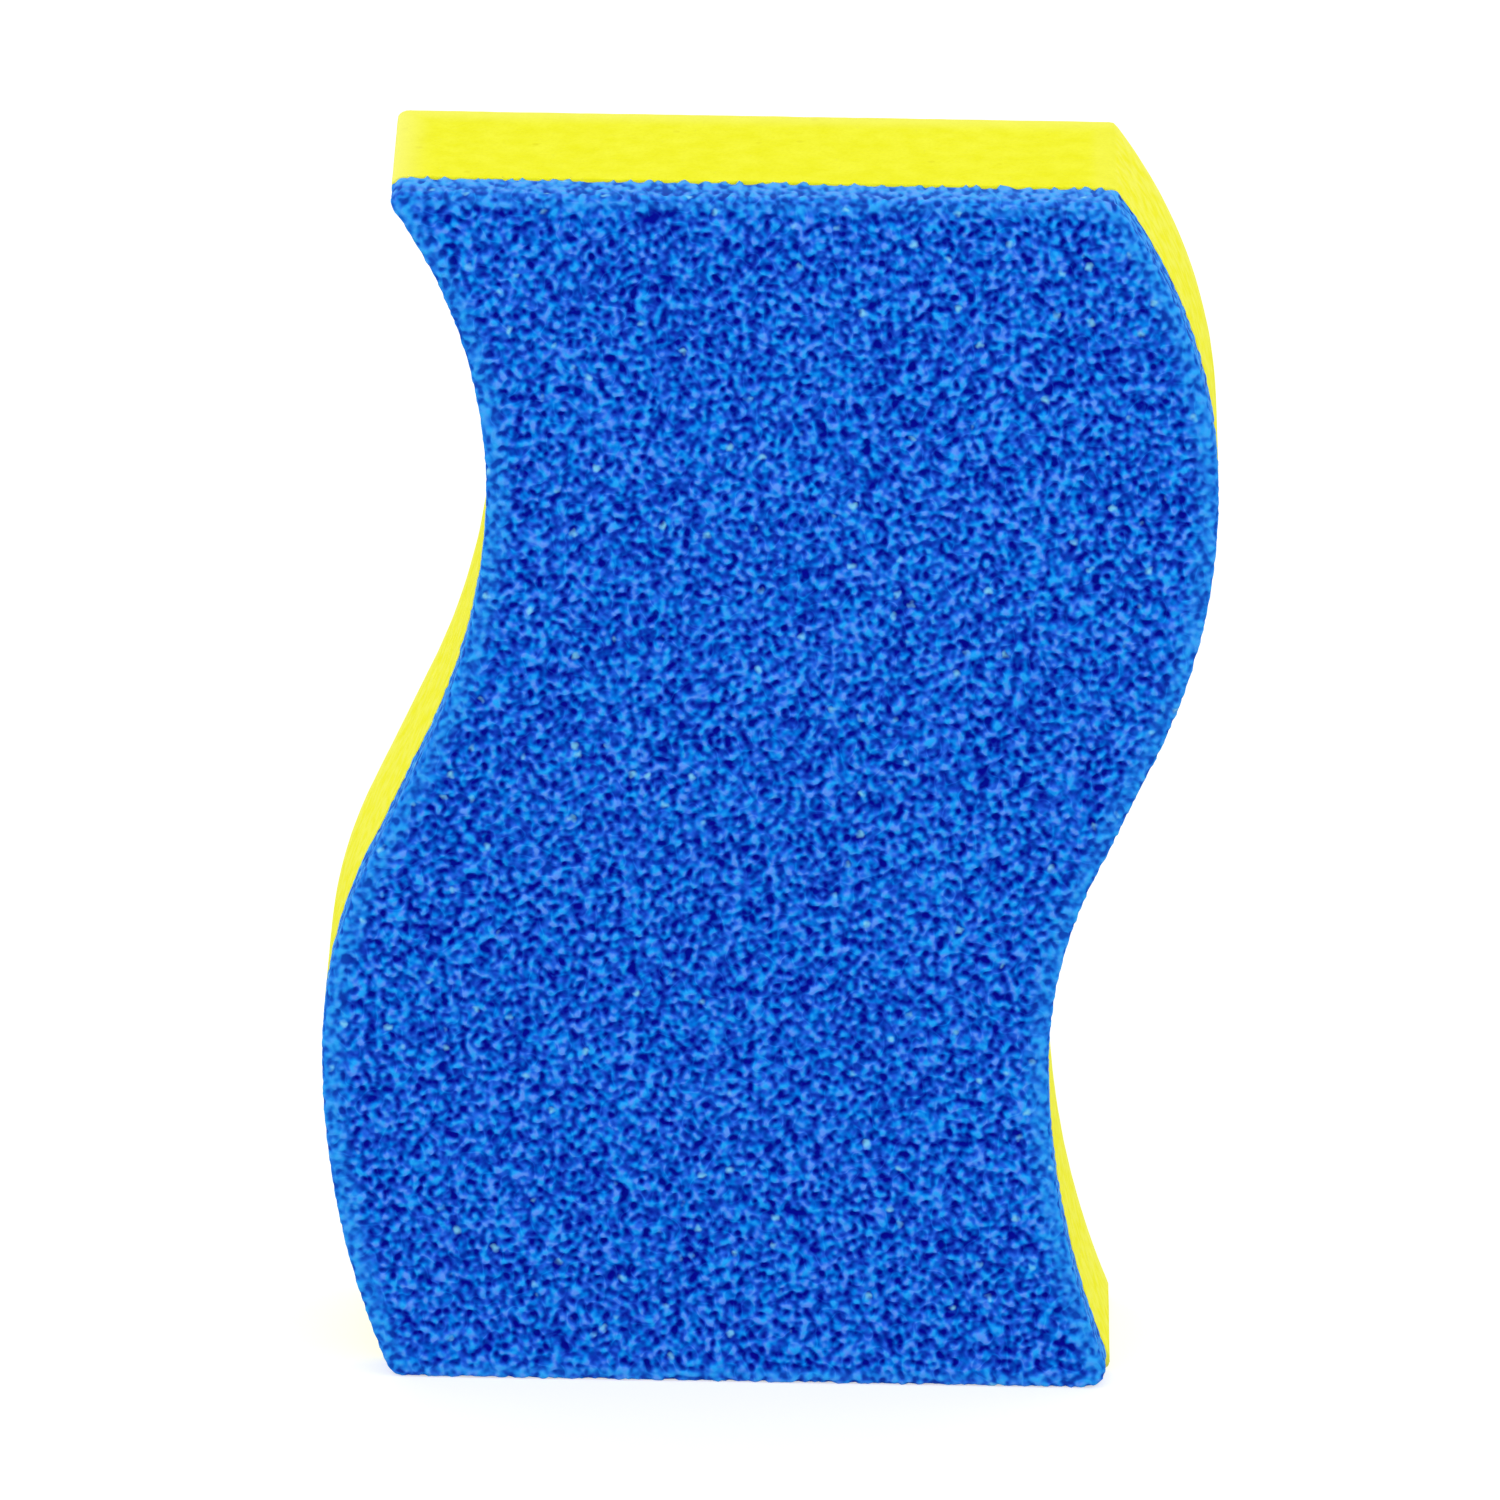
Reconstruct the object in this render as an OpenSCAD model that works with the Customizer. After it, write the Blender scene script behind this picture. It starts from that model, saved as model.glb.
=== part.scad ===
// Two-layer cleaning sponge, cut through both layers to one S-shaped wave outline.
// A thin sheet of coarse scouring foam is bonded flat to a thick body of fine foam.
// The sponge stands on its cut lower end: X runs across it, +Y points to the fine
// foam side and +Z points up its length. All sizes are in millimetres.

/* [Overall] */
// Length of the sponge, from the end it stands on to the other end
length = 120; // [112:1:160]
// Width of the wavy strip, the same at every height
strip_w = 69.5; // [50:0.5:90]

/* [Layers] */
// Thickness of the coarse scouring foam
scouring_t = 5; // [3:0.5:12]
// Thickness of the fine foam body
foam_t = 20; // [12:0.5:40]

/* [Wave] */
// Height of the lower bend's crest above the standing end
lower_crest_rise = 33.5; // [25:0.5:42]
// Distance of the upper bend's crest below the top end
upper_crest_drop = 30.5; // [20:0.5:36]
// Bend radius below the lower crest, down to the standing end
foot_r = 84; // [60:1:120]
// Bend radius above the lower crest, up to the straight run
lower_r = 44; // [30:1:56]
// Bend radius below the upper crest, down to the straight run
upper_r = 61; // [45:1:72]
// Bend radius above the upper crest, up to the top end
top_r = 50; // [40:1:80]
// Lean of the straight run between the two bends, in degrees from upright
run_lean = 24.5; // [15:0.5:27]

/* [Corners] */
// Rounding of the four corners where the wavy sides meet the cut ends
corner_r = 1; // [0.4:0.1:3]

/* [Hidden] */
$fn = 180;
// Where two curves run into each other, how far one bites into the other, so that
// they cross at a point and don't only touch
bite = 0.01;

// The wave is worked out for the side that faces -X, with its lower crest at X = 0.
upper_crest_z = length - upper_crest_drop;
run_foot = [
    lower_r - (lower_r - bite) * cos(run_lean),
    lower_crest_rise + (lower_r - bite) * sin(run_lean)
];
run_top_z = upper_crest_z - (upper_r - bite) * sin(run_lean);
run_top = [run_foot[0] + (run_top_z - run_foot[1]) * tan(run_lean), run_top_z];
// How far the side swings across between its two crests
wave_depth = run_top[0] + upper_r - (upper_r - bite) * cos(run_lean);

foot_centre = [foot_r, lower_crest_rise];
lower_centre = [lower_r, lower_crest_rise];
upper_centre = [wave_depth - upper_r, upper_crest_z];
top_centre = [wave_depth - top_r, upper_crest_z];

overall_w = strip_w + wave_depth;
overall_t = scouring_t + foam_t;
bond_y = scouring_t - overall_t / 2;

// What lies beside a bend between two heights: left of it where way is -1 and right
// of it where way is 1
module beside_bend(centre, r, z_low, z_high, way) {
    reach = 2 * overall_w;
    difference() {
        translate([centre[0] + min(way, 0) * reach, z_low]) square([reach, z_high - z_low]);
        translate(centre) circle(r = r);
    }
}

// Everything right of one wavy side, from the standing end to the top end
module right_of_wave() {
    reach = 2 * overall_w;
    foot_x = run_foot[0] - run_foot[1] * tan(run_lean);
    top_x = foot_x + length * tan(run_lean);
    difference() {
        union() {
            polygon([[foot_x, 0], [reach, 0], [reach, length], [top_x, length]]);
            beside_bend(upper_centre, upper_r, run_top[1], upper_crest_z, 1);
            beside_bend(top_centre, top_r, upper_crest_z, length, 1);
        }
        beside_bend(lower_centre, lower_r, lower_crest_rise, run_foot[1], -1);
        beside_bend(foot_centre, foot_r, 0, lower_crest_rise, -1);
    }
}

// What is cut away to round one corner. The rounding's centre sits inside the corner,
// end_way points from it to the cut end and side_way to where it meets the wavy side.
module corner_cut(centre, end_way, side_way) {
    reach = 3 * corner_r;
    translate(centre) difference() {
        polygon([[0, 0], reach * end_way, reach * (end_way + side_way), reach * side_way]);
        circle(r = corner_r + bite);
    }
}

// The corner where a bend that bulges outwards meets an end. out is -1 for a side that
// faces -X and 1 for one that faces +X.
module bulging_corner(bend_centre, bend_r, end_z, out) {
    end_way = [0, sign(end_z - bend_centre[1])];
    rise = end_z - corner_r * end_way[1] - bend_centre[1];
    run = out * sqrt(pow(bend_r - corner_r, 2) - rise * rise);
    corner_cut(bend_centre + [run, rise], end_way, [run, rise] / (bend_r - corner_r));
}

// The same for a hollow bend, whose centre lies outside the sponge
module hollow_corner(bend_centre, bend_r, end_z, out) {
    end_way = [0, sign(end_z - bend_centre[1])];
    rise = end_z - corner_r * end_way[1] - bend_centre[1];
    run = -out * sqrt(pow(bend_r + corner_r, 2) - rise * rise);
    corner_cut(bend_centre + [run, rise], end_way, -[run, rise] / (bend_r + corner_r));
}

module outline() {
    across = [strip_w, 0];
    difference() {
        right_of_wave();
        translate(across) right_of_wave();
        bulging_corner(foot_centre, foot_r, 0, -1);
        hollow_corner(foot_centre + across, foot_r, 0, 1);
        hollow_corner(top_centre, top_r, length, -1);
        bulging_corner(top_centre + across, top_r, length, 1);
    }
}

// One layer of the sponge, with its back at rear_y
module layer(t, rear_y) {
    translate([-overall_w / 2, rear_y, 0])
        rotate([90, 0, 0])
            linear_extrude(height = t) outline();
}

// Coarse open-cell scouring foam, the face that rubs
module scouring_layer() {
    color("#185CCC") layer(scouring_t, bond_y);
}

// Fine soft foam, the body that holds the water
module foam_body() {
    color("#F5F736") layer(foam_t, overall_t / 2);
}

scouring_layer();
foam_body();
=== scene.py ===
"""Cleaning sponge: a coarse blue scouring foam bonded to a fine yellow foam and cut to an S.

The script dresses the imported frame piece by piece: first comes the outline that both foams are
cut to, then the scouring layer and the foam body, and last the table, the light and the camera.
"""
import math

import bmesh
import bpy
from mathutils import Matrix, Vector


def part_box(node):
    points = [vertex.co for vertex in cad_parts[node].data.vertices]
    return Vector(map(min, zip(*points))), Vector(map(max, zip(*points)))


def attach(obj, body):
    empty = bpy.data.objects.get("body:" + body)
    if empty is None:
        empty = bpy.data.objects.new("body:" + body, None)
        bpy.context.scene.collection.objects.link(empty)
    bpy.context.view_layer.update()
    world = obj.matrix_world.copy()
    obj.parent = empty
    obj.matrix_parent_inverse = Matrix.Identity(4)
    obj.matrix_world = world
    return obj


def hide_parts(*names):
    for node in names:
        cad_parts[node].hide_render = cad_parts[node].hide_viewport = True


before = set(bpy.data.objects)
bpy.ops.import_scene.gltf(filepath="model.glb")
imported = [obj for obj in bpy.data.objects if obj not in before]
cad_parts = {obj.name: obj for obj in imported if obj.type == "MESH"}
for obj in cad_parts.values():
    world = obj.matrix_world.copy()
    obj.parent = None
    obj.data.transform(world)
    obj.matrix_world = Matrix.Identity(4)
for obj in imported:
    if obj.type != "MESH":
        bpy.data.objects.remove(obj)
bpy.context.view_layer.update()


# The cut outline
# Both foams are bonded as a flat sheet first and then cut through together, so one wavy
# outline serves both. Each wavy side is four arcs and a short straight run between the bends.
MM = 0.001
layer_low, layer_high = (Vector(corner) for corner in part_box("scouring_layer"))
body_low, body_high = (Vector(corner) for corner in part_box("foam_body"))
LENGTH = layer_high.z - layer_low.z
LOWER_CREST = 33.5 * MM
UPPER_CREST = LENGTH - 30.5 * MM
FOOT_RADIUS = 84 * MM
LOWER_RADIUS = 44 * MM
UPPER_RADIUS = 61 * MM
TOP_RADIUS = 50 * MM
RUN_LEAN = math.radians(24.5)
# The steps in which the soft edge of a face turns down into a wall.
EDGE_STEPS = 3
# The cutter presses the foam along the wavy sides, and the saw hardly does along the ends: there
# the way in from the rim counts this many times.
END_SHARPNESS = 2
# How much of a face's relief is left on the walls, and how ragged a sawn end is at the bond.
WALL_RELIEF = 0.35
BOND_RAGGEDNESS = 1.3

run_foot = Vector((LOWER_RADIUS * (1 - math.cos(RUN_LEAN)),
                   LOWER_CREST + LOWER_RADIUS * math.sin(RUN_LEAN)))
run_top_height = UPPER_CREST - UPPER_RADIUS * math.sin(RUN_LEAN)
run_top = Vector((run_foot.x + (run_top_height - run_foot.y) * math.tan(RUN_LEAN), run_top_height))
WAVE_DEPTH = run_top.x + UPPER_RADIUS * (1 - math.cos(RUN_LEAN))
OVERALL_WIDTH = layer_high.x - layer_low.x
STRIP_WIDTH = OVERALL_WIDTH - WAVE_DEPTH


def side_x(height):
    """Return where the wavy side that faces -X stands at a height."""
    if height < run_foot.y:
        radius = FOOT_RADIUS if height < LOWER_CREST else LOWER_RADIUS
        swing = radius - math.sqrt(radius ** 2 - (height - LOWER_CREST) ** 2)
    elif height < run_top.y:
        swing = run_foot.x + (height - run_foot.y) * math.tan(RUN_LEAN)
    else:
        radius = UPPER_RADIUS if height < UPPER_CREST else TOP_RADIUS
        swing = WAVE_DEPTH - radius + math.sqrt(radius ** 2 - (height - UPPER_CREST) ** 2)
    return swing - OVERALL_WIDTH / 2


def corner_roundings(foot_corner, top_corner):
    """Yield each corner rounding's centre, and its ways to the cut end and to the wavy side."""
    for end, corner_radius, crest, radius, bulge in (
            (0, foot_corner, LOWER_CREST, FOOT_RADIUS, -1),
            (LENGTH, top_corner, UPPER_CREST, TOP_RADIUS, 1)):
        bend_x = side_x(crest) - bulge * radius
        end_way = Vector((0, math.copysign(1, end - crest)))
        rise = end - end_way.y * corner_radius - crest
        for out in (-1, 1):
            reach = radius - corner_radius * out * bulge
            run = bulge * math.sqrt(reach ** 2 - rise ** 2)
            side_way = Vector((run, rise)) / reach * out * bulge
            across = STRIP_WIDTH if out > 0 else 0
            yield Vector((bend_x + across + run, crest + rise)), end_way, side_way


def round_corner(place, centre, end_way, side_way):
    """Draw a point of a sharp corner in to the rounding about centre."""
    from_centre = Vector((place.x, place.z)) - centre
    if from_centre.length == 0:
        return
    way = from_centre.normalized()
    bisector = (end_way + side_way).normalized()
    if way.dot(bisector) > end_way.dot(bisector):
        place.x, place.z = centre + from_centre * max(way.dot(end_way), way.dot(side_way))


def wall_rings(edge_radius, thickness, pitch):
    """Return the rings of a cut wall, as how far in and how deep each stands from the sharp rim."""
    arc = [math.radians(90) * step / EDGE_STEPS for step in range(EDGE_STEPS + 1)]
    rings = [(edge_radius * (1 - math.sin(turn)), edge_radius * (1 - math.cos(turn)))
             for turn in arc]
    steps = round((thickness - edge_radius) / pitch)
    for step in range(1, steps + 1):
        rings.append((0, edge_radius + (thickness - edge_radius) * step / steps))
    return rings


def cut_foam(face_y, bond_y, pitch, wall_pitch, edge_radius, foot_corner, top_corner, pull_in=0.0):
    """Make a foam block with a dense face at face_y, soft-edged walls and a plain bonded back.

    pull_in is how far the wavy sides stand in at the face, from nothing at the bond. Each point
    keeps rim_gap, its way from the rim, below zero on a wall; sawn_end, 1 on the end walls;
    wedge_gap, its way from the wavy side that meets the nearer end at a sharp angle; and
    outward, the way that its relief sinks against, as long as its share of the relief.
    """
    foam = bmesh.new()
    rim_gap = foam.verts.layers.float.new("rim_gap")
    sawn_end = foam.verts.layers.float.new("sawn_end")
    wedge_gap = foam.verts.layers.float.new("wedge_gap")
    outward = foam.verts.layers.float_vector.new("outward")
    thickness = abs(bond_y - face_y)
    end_margin = pitch / 4
    columns, rows = round(STRIP_WIDTH / pitch), round(LENGTH / pitch)

    # The face is a flat grid, as long and as wide as the sharp rim and then drawn in from it.
    bmesh.ops.create_grid(foam, x_segments=columns, y_segments=rows, size=0.5)
    bmesh.ops.scale(foam, verts=foam.verts, vec=(STRIP_WIDTH, LENGTH, 1))
    bmesh.ops.rotate(foam, verts=foam.verts, matrix=Matrix.Rotation(math.radians(90), 3, "X"))
    bmesh.ops.translate(foam, verts=foam.verts, vec=(0, face_y, 0))
    for vert in foam.verts:
        end_gap = LENGTH / 2 - abs(vert.co.z)
        vert[rim_gap] = min(STRIP_WIDTH / 2 - abs(vert.co.x), end_gap * END_SHARPNESS)
        vert[wedge_gap] = STRIP_WIDTH / 2 + vert.co.x * math.copysign(1, vert.co.z)
        vert[sawn_end] = 1.0 if end_gap < end_margin else 0.0
    rings = wall_rings(edge_radius, thickness, wall_pitch)
    spans = [(STRIP_WIDTH - 2 * (inset + pull_in * (1 - depth / thickness)), LENGTH - 2 * inset)
             for inset, depth in rings]
    width, length = spans[0]
    bmesh.ops.scale(foam, verts=foam.verts, vec=(width / STRIP_WIDTH, 1, length / LENGTH))

    # The walls grow from its rim to the bond, ring by ring, and the back closes them.
    rim = [edge for edge in foam.edges if edge.is_boundary]
    for ring_at in range(1, len(rings)):
        ring = bmesh.ops.extrude_edge_only(foam, edges=rim)["geom"]
        ring_verts = [part for part in ring if isinstance(part, bmesh.types.BMVert)]
        rim = [part for part in ring if isinstance(part, bmesh.types.BMEdge)]
        depth = rings[ring_at][1]
        step = (depth - rings[ring_at - 1][1]) * math.copysign(1, bond_y - face_y)
        bmesh.ops.translate(foam, verts=ring_verts, vec=(0, step, 0))
        for vert in ring_verts:
            vert[rim_gap] = -depth
            vert[sawn_end] = 1.0 if abs(vert.co.z) > length / 2 - end_margin else 0.0
        was_width, was_length = width, length
        width, length = spans[ring_at]
        bmesh.ops.scale(foam, verts=ring_verts, vec=(width / was_width, 1, length / was_length))
    bmesh.ops.contextual_create(foam, geom=rim)

    # The straight block is swung to the wave, and its four corners are rounded. No point of a
    # sharp corner lies further than corner_reach from the centre of its rounding.
    bmesh.ops.translate(foam, verts=foam.verts, vec=(STRIP_WIDTH / 2, 0, LENGTH / 2))
    for vert in foam.verts:
        vert.co.x += side_x(vert.co.z)
    roundings = list(corner_roundings(foot_corner, top_corner))
    corner_reach = 4 * max(foot_corner, top_corner)
    for vert in foam.verts:
        for centre, end_way, side_way in roundings:
            if (Vector((vert.co.x, vert.co.z)) - centre).length < corner_reach:
                round_corner(vert.co, centre, end_way, side_way)
    bmesh.ops.recalc_face_normals(foam, faces=foam.faces)
    foam.normal_update()

    # The relief fades from a face to its walls over the soft edge. At the bond it runs along the
    # bond plane, so that the two foams stay flat against each other.
    for vert in foam.verts:
        past_rim = min(max(0.5 - vert[rim_gap] / (2 * edge_radius), 0), 1)
        vert[outward] = vert.normal * (1 - past_rim * (1 - WALL_RELIEF))
    for vert in ring_verts:
        share = BOND_RAGGEDNESS if vert[sawn_end] else WALL_RELIEF
        vert[outward] = Vector((vert.normal.x, 0, vert.normal.z)).normalized() * share
    return foam


# The scouring layer
# A 5 mm sheet of coarse open-cell polyurethane foam, stiffened with a resin coat. The cutter
# opens its cells, so strand tips stand at the surface with dark cells between and behind them.
SCOURING_THICKNESS = layer_high.y - layer_low.y
SCOURING_PITCH = 0.32 * MM
SCOURING_WALL_PITCH = 0.5 * MM
SCOURING_EDGE = 0.5 * MM
SCOURING_FOOT_CORNER = 1.9 * MM
SCOURING_TOP_CORNER = 1.15 * MM
# The foam has strands 1.4 mm apart, with cells and a finer grain of cell walls between them.
STRAND_SPACING = 1.4 * MM
CELL_SIZE = 0.9 * MM
GRAIN_SIZE = 0.69 * MM
# What the cells and the grain add to the depth, and how far a strand stands up out of it, as
# wide as STRAND_WIDTH of its lumps' range.
CELL_SHARE = 0.25
GRAIN_SHARE = 0.75
STRAND_RISE = 0.12
STRAND_WIDTH = 0.08
# The surface falls by RELIEF from strand tips to open cells, and CLOSED_DEPTH of that is level
# with the cut. Where the foam is pressed, its cells close towards that by PRESSED_CLOSING.
RELIEF = 0.55 * MM
CLOSED_DEPTH = 0.2
PRESSED_CLOSING = 0.2
# The pressed foam gives way to the open face between these two ways in from the rim.
PRESSED_RIM = 0.3 * MM
OPEN_FACE = 2.5 * MM
# Cells stand off their places by up to half of WANDER, in lumps of WANDER_LENGTH.
WANDER = 0.5 * MM
WANDER_LENGTH = 0.6 * MM
# The saw runs through the sheet and drags the cells of the sawn ends out, to twice as long.
SAW_DRAG = 0.5
# How pale the strands are that the saw bares, made paler still by painted light from above, at
# the bond and at the face, where pressed foam is 1, and how much less deep the cells look for
# each 1 of that.
BARED_AND_LIT_AT_BOND = 3.5
BARED_AND_LIT_AT_FACE = 1.1
PALE_SHALLOWNESS = 0.09
# The colours of the dyed strand tips, with painted shade that darkens them to navy down in the
# open cells, on azure and on violet strands, and how much of their violet the strands lose where
# the foam is pressed.
AZURE_DYE_AND_CELL_SHADE = ("#22A8FF", "#0080EC", "#004EC4", "#001098")
VIOLET_DYE_AND_CELL_SHADE = ("#5E98FF", "#246AEC", "#1042C4", "#040698")
VIOLET_LOSS = 0.6
# How far apart the painted glints on the strand tips lie.
GLINT_SPACING = 3.2 * MM
# The resin's grit is finer than this, and is drawn coarser so that it shows.
GRIT_SIZE = 0.22 * MM
GRIT_HEIGHT = 0.04 * MM
# Each set of lumps is turned about this axis, so that its grid lines up with no face.
LUMP_AXIS = (0.4, 0.7, 0.6)


def add_node(tree, kind, inputs=None, **settings):
    """Add a node, make its settings, and set or link its inputs."""
    node = tree.nodes.new(kind)
    for name, value in settings.items():
        setattr(node, name, value)
    for key, value in (inputs or {}).items():
        if isinstance(value, bpy.types.NodeSocket):
            tree.links.new(value, node.inputs[key])
        else:
            node.inputs[key].default_value = value
    return node


def foam_piece(name, foam):
    """Turn a foam block into a smooth-shaded object at the origin."""
    mesh = bpy.data.meshes.new(name)
    foam.to_mesh(mesh)
    foam.free()
    mesh.shade_smooth()
    piece = bpy.data.objects.new(name, mesh)
    bpy.context.collection.objects.link(piece)
    return piece


def linear(code):
    """Turn an sRGB hex colour into the linear colour that a shader takes."""
    channels = [int(code[at:at + 2], 16) / 255 for at in (1, 3, 5)]
    return [c / 12.92 if c <= 0.04045 else ((c + 0.055) / 1.055) ** 2.4 for c in channels] + [1]


def lumps(tree, place, size, turn, output="Fac"):
    """Return soft lumps of one size. Sets with other turns, in radians, lie in other places."""
    turned = add_node(tree, "ShaderNodeVectorRotate",
                      {"Vector": place, "Axis": LUMP_AXIS, "Angle": turn},
                      rotation_type="AXIS_ANGLE")
    noise = add_node(tree, "ShaderNodeTexNoise",
                     {"Vector": turned.outputs["Vector"], "Scale": 1 / size, "Detail": 0.0})
    return noise.outputs[output]


def pressing(tree, rim_gap):
    """Return how far the cutter pressed the foam: 1 on the walls and rims, 0 on a face."""
    return add_node(tree, "ShaderNodeMapRange",
                    {"Value": rim_gap, "From Min": PRESSED_RIM, "From Max": OPEN_FACE,
                     "To Min": 1.0, "To Max": 0.0}, interpolation_type="SMOOTHSTEP").outputs[0]


def cell_openness(tree, rim_gap, sawn_end):
    """Return how open the cells stand: 0.8 where the foam is pressed, 1 on a face or a sawn end."""
    pressed = add_node(tree, "ShaderNodeMath",
                       {0: pressing(tree, rim_gap), 1: -PRESSED_CLOSING, 2: 1.0},
                       operation="MULTIPLY_ADD")
    return add_node(tree, "ShaderNodeMath",
                    {0: sawn_end, 1: PRESSED_CLOSING, 2: pressed.outputs[0]},
                    operation="MULTIPLY_ADD", use_clamp=True).outputs[0]


def bent_place(tree, place):
    """Bend a place a little to and fro, so that what is drawn there is irregular."""
    bend = add_node(tree, "ShaderNodeVectorMath",
                    {0: lumps(tree, place, WANDER_LENGTH, 0.5, "Color"), 1: (0.5, 0.5, 0.5)},
                    operation="SUBTRACT")
    return add_node(tree, "ShaderNodeVectorMath", {0: bend.outputs[0], 1: (WANDER,) * 3, 2: place},
                    operation="MULTIPLY_ADD").outputs[0]


def scouring_depth(tree, place, rim_gap, sawn_end):
    """Return how deep the cut foam lies at a place, from 0 at strand tips to 1 in open cells."""
    from_face = add_node(tree, "ShaderNodeVectorMath", {0: place, 1: (0, layer_low.y, 0)},
                         operation="SUBTRACT")
    drag = add_node(tree, "ShaderNodeVectorMath", {0: (0, -SAW_DRAG, 0), "Scale": sawn_end},
                    operation="SCALE")
    place = add_node(tree, "ShaderNodeVectorMath",
                     {0: from_face.outputs[0], 1: drag.outputs[0], 2: place},
                     operation="MULTIPLY_ADD").outputs[0]
    cells = add_node(tree, "ShaderNodeTexVoronoi",
                     {"Vector": bent_place(tree, place), "Scale": 1 / CELL_SIZE})
    pores = add_node(tree, "ShaderNodeMapRange",
                     {"Value": cells.outputs["Distance"], "From Min": 0.1, "From Max": 0.85,
                      "To Min": CELL_SHARE, "To Max": 0.0}, interpolation_type="SMOOTHSTEP")
    grain = add_node(tree, "ShaderNodeMath", {0: lumps(tree, place, GRAIN_SIZE, 0.9),
                                              1: lumps(tree, place, GRAIN_SIZE, 2.6)})
    grain = add_node(tree, "ShaderNodeMapRange",
                     {"Value": grain.outputs[0], "From Min": 0.6, "From Max": 1.4, "To Min": 0.0,
                      "To Max": GRAIN_SHARE})
    # A strand stands up wherever its lumps pass through their middle value.
    ridge = add_node(tree, "ShaderNodeMath",
                     {0: lumps(tree, place, STRAND_SPACING, 3.0), 1: 0.5}, operation="SUBTRACT")
    ridge = add_node(tree, "ShaderNodeMath", {0: ridge.outputs[0]}, operation="ABSOLUTE")
    strands = add_node(tree, "ShaderNodeMapRange",
                       {"Value": ridge.outputs[0], "From Min": 0.0, "From Max": STRAND_WIDTH,
                        "To Min": -STRAND_RISE, "To Max": 0.0}, interpolation_type="SMOOTHSTEP")
    depth = add_node(tree, "ShaderNodeMath", {0: pores.outputs[0], 1: grain.outputs[0]})
    depth = add_node(tree, "ShaderNodeMath", {0: depth.outputs[0], 1: strands.outputs[0]})
    depth = add_node(tree, "ShaderNodeMapRange",
                     {"Value": depth.outputs[0], "From Min": 0.08, "From Max": 0.82})
    below = add_node(tree, "ShaderNodeMath", {0: depth.outputs[0], 1: CLOSED_DEPTH},
                     operation="SUBTRACT")
    return add_node(tree, "ShaderNodeMath",
                    {0: below.outputs[0], 1: cell_openness(tree, rim_gap, sawn_end),
                     2: CLOSED_DEPTH}, operation="MULTIPLY_ADD", use_clamp=True).outputs[0]


def surface_relief(name, depth_field, reach, level):
    """Make the modifier tree that moves a foam's surface by its depth field.

    reach is the relief in metres, and level is the depth that stays where the cutter passed.
    Each point keeps cut_place, where it was before, which its material reads.
    """
    tree = bpy.data.node_groups.new(name, "GeometryNodeTree")
    tree.interface.new_socket("Geometry", in_out="INPUT", socket_type="NodeSocketGeometry")
    tree.interface.new_socket("Geometry", in_out="OUTPUT", socket_type="NodeSocketGeometry")
    start = add_node(tree, "NodeGroupInput")
    place = add_node(tree, "GeometryNodeInputPosition").outputs["Position"]
    rim_gap = add_node(tree, "GeometryNodeInputNamedAttribute", {"Name": "rim_gap"},
                       data_type="FLOAT")
    sawn_end = add_node(tree, "GeometryNodeInputNamedAttribute", {"Name": "sawn_end"},
                        data_type="FLOAT")
    outward = add_node(tree, "GeometryNodeInputNamedAttribute", {"Name": "outward"},
                       data_type="FLOAT_VECTOR")
    kept = add_node(tree, "GeometryNodeStoreNamedAttribute",
                    {"Geometry": start.outputs["Geometry"], "Name": "cut_place", "Value": place},
                    data_type="FLOAT_VECTOR", domain="POINT")
    depth = depth_field(tree, place, rim_gap.outputs["Attribute"], sawn_end.outputs["Attribute"])
    rise = add_node(tree, "ShaderNodeMath", {0: depth, 1: -reach, 2: reach * level},
                    operation="MULTIPLY_ADD")
    offset = add_node(tree, "ShaderNodeVectorMath",
                      {0: outward.outputs["Attribute"], "Scale": rise.outputs[0]},
                      operation="SCALE")
    moved = add_node(tree, "GeometryNodeSetPosition",
                     {"Geometry": kept.outputs["Geometry"], "Offset": offset.outputs[0]})
    add_node(tree, "NodeGroupOutput", {"Geometry": moved.outputs["Geometry"]})
    return tree


def dye_with_cell_shade(tree, depth, codes):
    """Return the colour at a depth, dyed at strand tips and with painted shade down in open cells.
    """
    ramp = add_node(tree, "ShaderNodeValToRGB", {"Fac": depth})
    stops = ramp.color_ramp.elements
    stops[0].color = linear(codes[0])
    stops[1].color = linear(codes[3])
    stops.new(0.35).color = linear(codes[1])
    stops.new(0.65).color = linear(codes[2])
    return ramp.outputs["Color"]


scouring = foam_piece("scouring_foam", cut_foam(layer_low.y, layer_high.y, SCOURING_PITCH,
                                                SCOURING_WALL_PITCH, SCOURING_EDGE,
                                                SCOURING_FOOT_CORNER, SCOURING_TOP_CORNER))
relief = scouring.modifiers.new("cut_cells", "NODES")
relief.node_group = surface_relief("scouring_relief", scouring_depth, RELIEF, CLOSED_DEPTH)

# Resin-coated polyurethane foam: matt and rough, royal blue with azure and violet strands, and
# painted shade that turns the open cells navy. A few strand tips carry painted glints, pale blue.
blue = bpy.data.materials.new("resin_coated_foam")
blue.use_nodes = True
tree = blue.node_tree
shader = tree.nodes["Principled BSDF"]
shader.inputs["Specular IOR Level"].default_value = 0.03
place = add_node(tree, "ShaderNodeAttribute", attribute_name="cut_place").outputs["Vector"]
rim_gap = add_node(tree, "ShaderNodeAttribute", attribute_name="rim_gap").outputs["Fac"]
sawn_end = add_node(tree, "ShaderNodeAttribute", attribute_name="sawn_end").outputs["Fac"]
depth = scouring_depth(tree, place, rim_gap, sawn_end)
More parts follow.
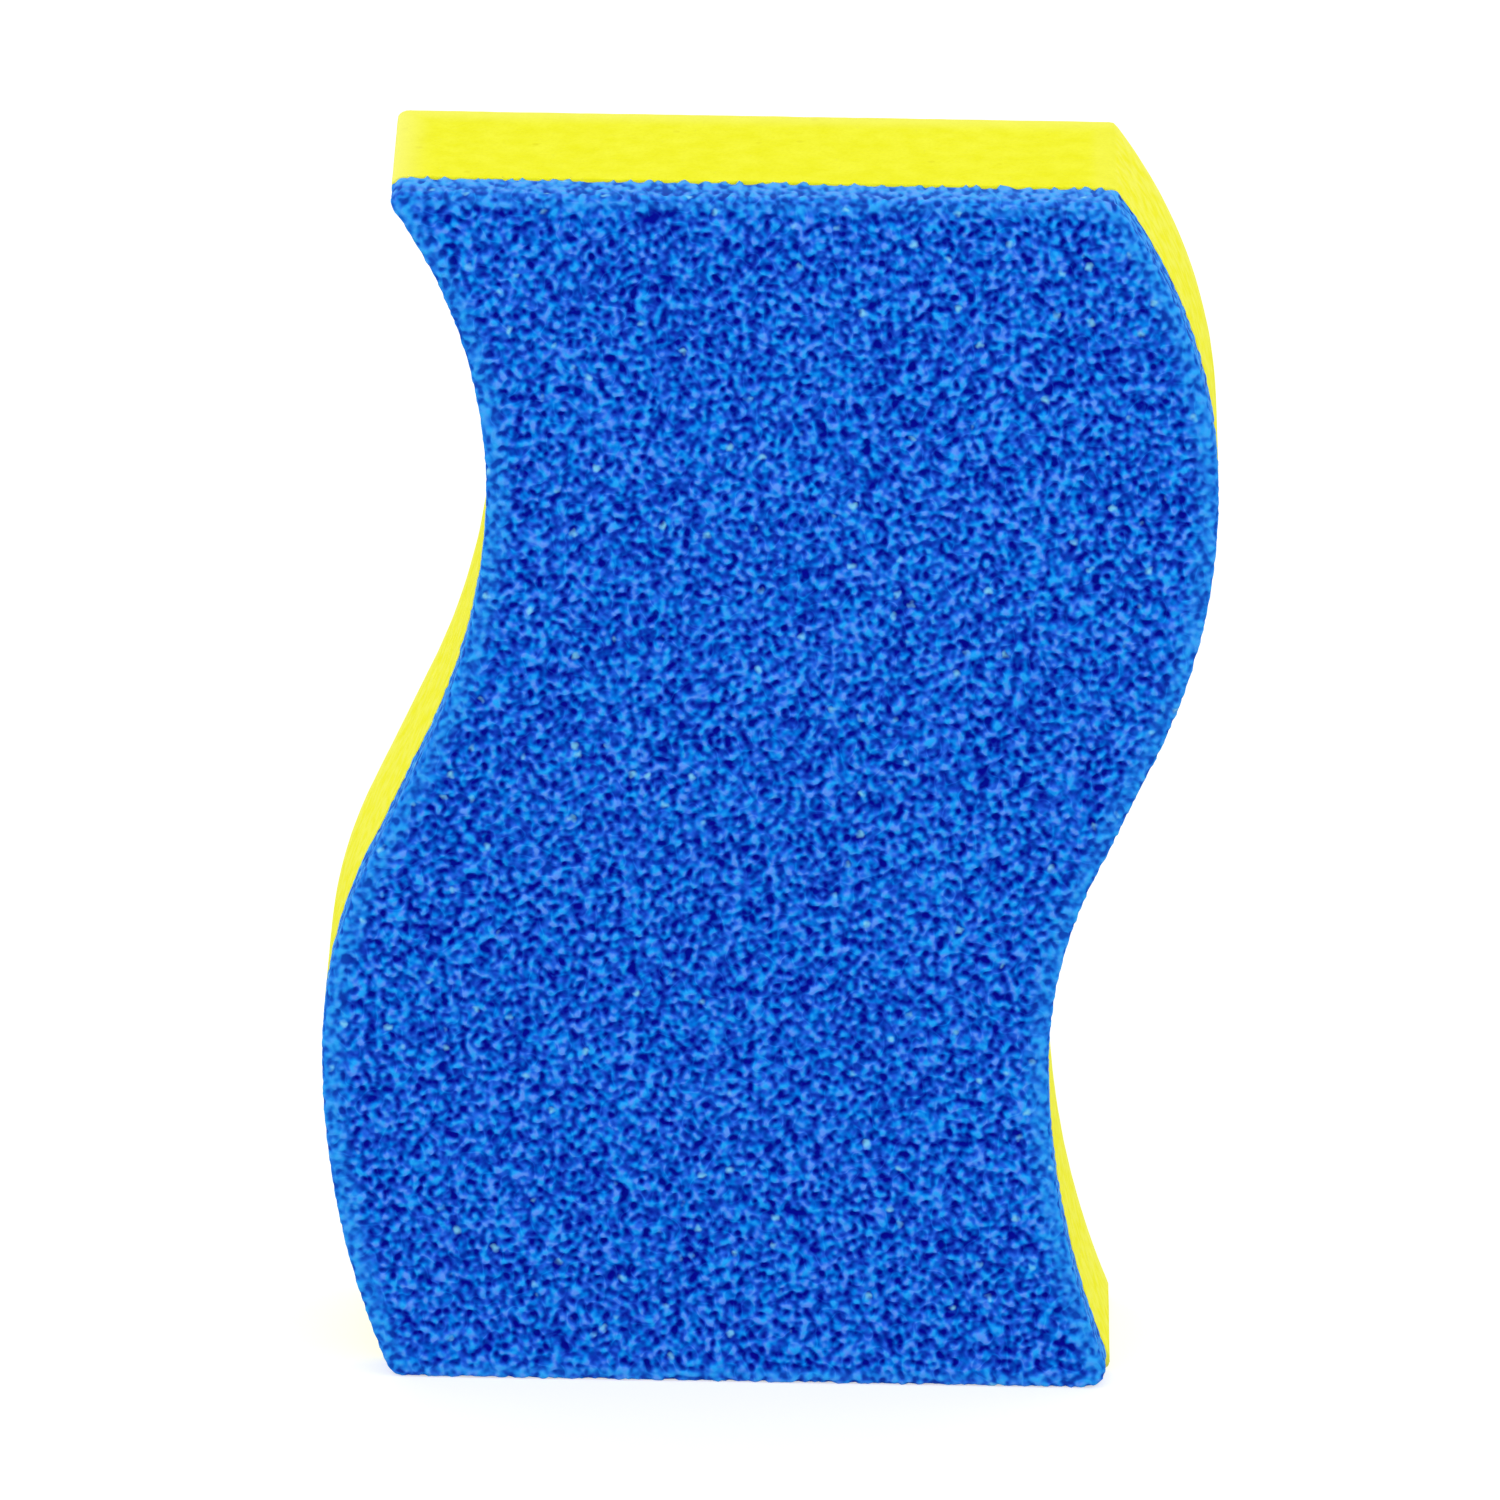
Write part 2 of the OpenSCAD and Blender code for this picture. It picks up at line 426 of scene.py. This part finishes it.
# The foam is paler where the cutter pressed it, along the rim and down the wavy walls. The saw
# bares fresh strands on the sawn ends, and painted light, as if falling from above, makes them
# paler still next to the bond. Fewer dark cells show there.
bared_and_lit = add_node(tree, "ShaderNodeMapRange",
                 {"Value": rim_gap, "From Min": -SCOURING_THICKNESS, "From Max": 0.0,
                  "To Min": BARED_AND_LIT_AT_BOND, "To Max": BARED_AND_LIT_AT_FACE})
paleness_and_painted_light = add_node(tree, "ShaderNodeMix", {"Factor": sawn_end, "A": pressing(tree, rim_gap),
                                            "B": bared_and_lit.outputs[0]})
shown_depth = add_node(tree, "ShaderNodeMath",
                       {0: paleness_and_painted_light.outputs[0], 1: -PALE_SHALLOWNESS, 2: depth},
                       operation="MULTIPLY_ADD", use_clamp=True).outputs[0]
violet = add_node(tree, "ShaderNodeMath", {0: sawn_end, 1: pressing(tree, rim_gap)},
                  operation="SUBTRACT")
violet = add_node(tree, "ShaderNodeMath", {0: violet.outputs[0], 1: VIOLET_LOSS, 2: 1.0},
                  operation="MULTIPLY_ADD", use_clamp=True)
hue = add_node(tree, "ShaderNodeMapRange",
               {"Value": lumps(tree, place, GRAIN_SIZE, 1.4), "From Min": 0.35, "From Max": 0.65,
                "To Max": violet.outputs[0]})
# Both ramps paint the shade of the open cells into the strands' colour.
dyed = add_node(tree, "ShaderNodeMix",
                {"Factor": hue.outputs[0], "A": dye_with_cell_shade(tree, shown_depth, AZURE_DYE_AND_CELL_SHADE),
                 "B": dye_with_cell_shade(tree, shown_depth, VIOLET_DYE_AND_CELL_SHADE)}, data_type="RGBA")
# The paleness and painted light lie on the strand tips like a wash, hardly reaching into cells.
tips = add_node(tree, "ShaderNodeMapRange",
                {"Value": depth, "From Min": 0.1, "From Max": 0.8, "To Min": 0.2, "To Max": 0.05})
wash = add_node(tree, "ShaderNodeMath", {0: paleness_and_painted_light.outputs[0], 1: tips.outputs[0]},
                operation="MULTIPLY", use_clamp=True)
washed = add_node(tree, "ShaderNodeMix", {"Factor": wash.outputs[0], "A": dyed.outputs["Result"],
                                          "B": linear("#50B4FA")}, data_type="RGBA")
# Painted highlights: a few strand tips are coloured pale blue, as if glinting.
glint_cells = add_node(tree, "ShaderNodeTexVoronoi",
                       {"Vector": bent_place(tree, place), "Scale": 1 / GLINT_SPACING})
painted_glint = add_node(tree, "ShaderNodeMapRange",
                 {"Value": glint_cells.outputs["Distance"], "From Min": 0.02, "From Max": 0.16,
                  "To Min": 0.85, "To Max": 0.0}, interpolation_type="SMOOTHSTEP")
glinted = add_node(tree, "ShaderNodeMix", {"Factor": painted_glint.outputs[0], "A": washed.outputs["Result"],
                                          "B": linear("#84DAFF")}, data_type="RGBA")
gloss = add_node(tree, "ShaderNodeMapRange", {"Value": depth, "To Min": 0.5, "To Max": 0.8})
grit = add_node(tree, "ShaderNodeBump", {"Height": lumps(tree, place, GRIT_SIZE, 2.2),
                                         "Strength": 0.4, "Distance": GRIT_HEIGHT})
tree.links.new(gloss.outputs[0], shader.inputs["Roughness"])
tree.links.new(grit.outputs["Normal"], shader.inputs["Normal"])
tree.links.new(glinted.outputs["Result"], shader.inputs["Base Color"])
scouring.data.materials.append(blue)
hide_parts("scouring_layer")
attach(scouring, "root")


# The foam body
# A 20 mm block of fine-celled polyurethane foam that holds the water. Its cells are a third of
# a millimetre, so it looks smooth, with a soft mottle and here and there a larger pore.
BODY_PITCH = 0.45 * MM
BODY_WALL_PITCH = 0.5 * MM
BODY_EDGE = 0.3 * MM
BODY_CORNER = 1.1 * MM
BODY_PULL_IN = 0.1 * MM
# The surface is uneven by this much over this length, and the cut lies half-way in that.
BODY_UNEVENNESS = 0.2 * MM
SWELL_LENGTH = 2.2 * MM
BODY_LEVEL = 0.5
# The cells are drawn a little coarser than they are, so that they show.
FINE_CELL = 0.42 * MM
CELL_HOLLOW = 0.1 * MM
MOTTLE_SIZE = 2.6 * MM
PORE_SPACING = 4.4 * MM
# The patches that the cutter leaves on the wavy walls, and how strong they are.
PATCH_SIZE = 1.2 * MM
PATCH_STRENGTH = 0.5
# How far in from the rim, and from a sharp corner's wavy side, the foam gets painted light.
GLOW_RIM = 4.2 * MM
GLOW_WEDGE = 5.0 * MM
# The way from a blunt corner's wavy side over which the end gets a little painted light.
BLUNT_START = 2.7 * MM
BLUNT_END = 1.3 * MM


def body_depth(tree, place, rim_gap, sawn_end):
    """Return the foam body's unevenness at a place, from 0 to 1.

    It takes what scouring_depth takes, but is the same on faces, walls and sawn ends.
    """
    swell = add_node(tree, "ShaderNodeTexNoise",
                     {"Vector": place, "Scale": 1 / SWELL_LENGTH, "Detail": 2.0})
    return swell.outputs["Fac"]


body = foam_piece("fine_foam", cut_foam(body_high.y, body_low.y, BODY_PITCH, BODY_WALL_PITCH,
                                        BODY_EDGE, BODY_CORNER, BODY_CORNER, BODY_PULL_IN))
relief = body.modifiers.new("cut_cells", "NODES")
relief.node_group = surface_relief("body_relief", body_depth, BODY_UNEVENNESS, BODY_LEVEL)

# Dyed polyurethane foam: very matt, bright lemon yellow. Painted shade makes it a little deeper
# between its fine cells and in the few larger pores, and painted light makes it paler at its rim
# and corners, where the foam is slender.
yellow = bpy.data.materials.new("dyed_soft_foam")
yellow.use_nodes = True
tree = yellow.node_tree
shader = tree.nodes["Principled BSDF"]
shader.inputs["Roughness"].default_value = 0.9
shader.inputs["Specular IOR Level"].default_value = 0.05
place = add_node(tree, "ShaderNodeAttribute", attribute_name="cut_place").outputs["Vector"]
rim_gap = add_node(tree, "ShaderNodeAttribute", attribute_name="rim_gap").outputs["Fac"]
sawn_end = add_node(tree, "ShaderNodeAttribute", attribute_name="sawn_end").outputs["Fac"]
wedge_gap = add_node(tree, "ShaderNodeAttribute", attribute_name="wedge_gap").outputs["Fac"]
mottle = add_node(tree, "ShaderNodeTexNoise",
                  {"Vector": place, "Scale": 1 / MOTTLE_SIZE, "Detail": 3.0})
mottle = add_node(tree, "ShaderNodeMapRange",
                  {"Value": mottle.outputs["Fac"], "From Min": 0.3, "From Max": 0.7})
dyed = add_node(tree, "ShaderNodeMix", {"Factor": mottle.outputs[0], "A": linear("#F4F422"),
                                        "B": linear("#FAFB3A")}, data_type="RGBA")
# Painted shade darkens the middle of each fine cell, and each of the few larger pores.
fine = add_node(tree, "ShaderNodeTexVoronoi", {"Vector": place, "Scale": 1 / FINE_CELL})
cell_shade = add_node(tree, "ShaderNodeMapRange",
                  {"Value": fine.outputs["Distance"], "From Min": 0.1, "From Max": 0.6,
                   "To Min": 0.25, "To Max": 0.0})
celled = add_node(tree, "ShaderNodeMix", {"Factor": cell_shade.outputs[0], "A": dyed.outputs["Result"],
                                          "B": linear("#E9E50C")}, data_type="RGBA")
pore_cells = add_node(tree, "ShaderNodeTexVoronoi", {"Vector": place, "Scale": 1 / PORE_SPACING})
pore = add_node(tree, "ShaderNodeMapRange",
                {"Value": pore_cells.outputs["Distance"], "From Min": 0.05, "From Max": 0.11,
                 "To Min": 0.3, "To Max": 0.0}, interpolation_type="SMOOTHSTEP")
pore_shaded = add_node(tree, "ShaderNodeMix", {"Factor": pore.outputs[0], "A": celled.outputs["Result"],
                                         "B": linear("#D9CF10")}, data_type="RGBA")
# The cutter drags the wavy walls, which leaves paler and warmer patches on them.
on_wall = add_node(tree, "ShaderNodeMath", {0: rim_gap, 1: 0.0}, operation="LESS_THAN")
dragged = add_node(tree, "ShaderNodeMath", {0: on_wall.outputs[0], 1: sawn_end},
                   operation="SUBTRACT", use_clamp=True)
dragged = add_node(tree, "ShaderNodeMath", {0: dragged.outputs[0], 1: PATCH_STRENGTH},
                   operation="MULTIPLY")
patches = add_node(tree, "ShaderNodeMapRange",
                   {"Value": lumps(tree, place, PATCH_SIZE, 0.8), "From Min": 0.33,
                    "From Max": 0.67})
patched = add_node(tree, "ShaderNodeMix", {"Factor": patches.outputs[0], "A": linear("#FAF62C"),
                                           "B": linear("#FFFF74")}, data_type="RGBA")
walled = add_node(tree, "ShaderNodeMix",
                  {"Factor": dragged.outputs[0], "A": pore_shaded.outputs["Result"],
                   "B": patched.outputs["Result"]}, data_type="RGBA")
# Painted light, as if shining through the foam, pales it along its rim and in the narrow wedge
# of a sharp corner, and a little at the blunt corner.
from_rim = add_node(tree, "ShaderNodeMath", {0: rim_gap}, operation="ABSOLUTE")
rim_glow = add_node(tree, "ShaderNodeMapRange",
                    {"Value": from_rim.outputs[0], "From Min": 0.0, "From Max": GLOW_RIM,
                     "To Min": 0.5, "To Max": 0.0}, interpolation_type="SMOOTHSTEP")
wedge = add_node(tree, "ShaderNodeMapRange",
                 {"Value": wedge_gap, "From Min": 0.0, "From Max": GLOW_WEDGE, "To Min": 0.9,
                  "To Max": 0.0}, interpolation_type="SMOOTHSTEP")
blunt = add_node(tree, "ShaderNodeMapRange",
                 {"Value": wedge_gap, "From Min": STRIP_WIDTH - BLUNT_START,
                  "From Max": STRIP_WIDTH - BLUNT_END, "To Max": 0.18},
                 interpolation_type="SMOOTHSTEP")
corner = add_node(tree, "ShaderNodeMath", {0: wedge.outputs[0], 1: blunt.outputs[0]})
corner = add_node(tree, "ShaderNodeMath", {0: corner.outputs[0], 1: sawn_end}, operation="MULTIPLY")
painted_glow = add_node(tree, "ShaderNodeMath", {0: rim_glow.outputs[0], 1: corner.outputs[0]},
                operation="MAXIMUM")
# The painted light mixes the foam's colour towards a pale yellow.
pale = add_node(tree, "ShaderNodeMix", {"Factor": painted_glow.outputs[0], "A": walled.outputs["Result"],
                                        "B": linear("#FFFE7E")}, data_type="RGBA")
height = add_node(tree, "ShaderNodeMath", {0: fine.outputs["Distance"], 1: pore.outputs[0]},
                  operation="SUBTRACT")
cells = add_node(tree, "ShaderNodeBump", {"Height": height.outputs[0], "Strength": 0.5,
                                          "Distance": CELL_HOLLOW})
tree.links.new(pale.outputs["Result"], shader.inputs["Base Color"])
tree.links.new(cells.outputs["Normal"], shader.inputs["Normal"])
body.data.materials.append(yellow)
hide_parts("foam_body")
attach(body, "root")


# The table and the light
# A white studio table under an even white sky, with a large soft lamp on each of its four sides.
# The camera sees the table a little lighter than it is, so that it is white but keeps the shadow.
TABLE_REACH = 4
TABLE_LIFT = 0.55
SKY = 0.825
LAMP_WIDTH = 1.2
LAMP_AIM = Vector((0, 0, 0.06))

table_mesh = bpy.data.meshes.new("table")
table_top = bmesh.new()
bmesh.ops.create_grid(table_top, x_segments=1, y_segments=1, size=TABLE_REACH)
table_top.to_mesh(table_mesh)
table_top.free()
table = bpy.data.objects.new("table", table_mesh)
bpy.context.collection.objects.link(table)
white = bpy.data.materials.new("white_table")
white.use_nodes = True
tree = white.node_tree
shader = tree.nodes["Principled BSDF"]
shader.inputs["Base Color"].default_value = linear("#D0D0D0")
shader.inputs["Roughness"].default_value = 1.0
shader.inputs["Specular IOR Level"].default_value = 0.0
shader.inputs["Emission Color"].default_value = (1, 1, 1, 1)
seen = add_node(tree, "ShaderNodeLightPath")
direct = add_node(tree, "ShaderNodeMath",
                  {0: seen.outputs["Is Camera Ray"], 1: seen.outputs["Is Glossy Ray"]},
                  operation="MAXIMUM")
direct = add_node(tree, "ShaderNodeMath",
                  {0: direct.outputs[0], 1: seen.outputs["Is Transmission Ray"]},
                  operation="MAXIMUM")
lift = add_node(tree, "ShaderNodeMath", {0: direct.outputs[0], 1: TABLE_LIFT}, operation="MULTIPLY")
tree.links.new(lift.outputs[0], shader.inputs["Emission Strength"])
table_mesh.materials.append(white)

world = bpy.data.worlds.new("studio")
bpy.context.scene.world = world
world.use_nodes = True
world.node_tree.nodes["Background"].inputs["Color"].default_value = (1, 1, 1, 1)
world.node_tree.nodes["Background"].inputs["Strength"].default_value = SKY

for name, place, watts in (("front_soft_box", (-0.3, -1.8, 0.7), 4.9),
                           ("back_soft_box", (0.3, 1.8, 0.7), 4.5),
                           ("left_soft_box", (-1.6, -0.6, 0.7), 6.0),
                           ("right_soft_box", (1.6, -0.6, 0.7), 5.6)):
    lamp_data = bpy.data.lights.new(name, "AREA")
    lamp_data.shape = "DISK"
    lamp_data.size = LAMP_WIDTH
    lamp_data.energy = watts
    lamp = bpy.data.objects.new(name, lamp_data)
    lamp.location = place
    lamp.rotation_euler = (LAMP_AIM - lamp.location).to_track_quat("-Z", "Y").to_euler()
    bpy.context.collection.objects.link(lamp)
bpy.context.scene.view_settings.view_transform = "Standard"


# The camera
# A long lens from the front and a little above, as the photograph was taken.
ELEVATION = math.radians(19.92)
YAW = math.radians(0.44)
ROLL = math.radians(0.81)
DISTANCE = 2.392
LENS_MM = 600
AIM = Vector((-1.89 * MM, 0, 60.15 * MM))
camera_data = bpy.data.cameras.new("camera")
camera_data.lens = LENS_MM
camera_data.sensor_fit = "HORIZONTAL"
camera_data.clip_end = 20
camera = bpy.data.objects.new("camera", camera_data)
camera.matrix_world = (Matrix.Translation(AIM)
                       @ Matrix.Rotation(YAW, 4, "Z")
                       @ Matrix.Rotation(math.radians(90) - ELEVATION, 4, "X")
                       @ Matrix.Rotation(ROLL, 4, "Z")
                       @ Matrix.Translation((0, 0, DISTANCE)))
bpy.context.collection.objects.link(camera)
bpy.context.scene.camera = camera
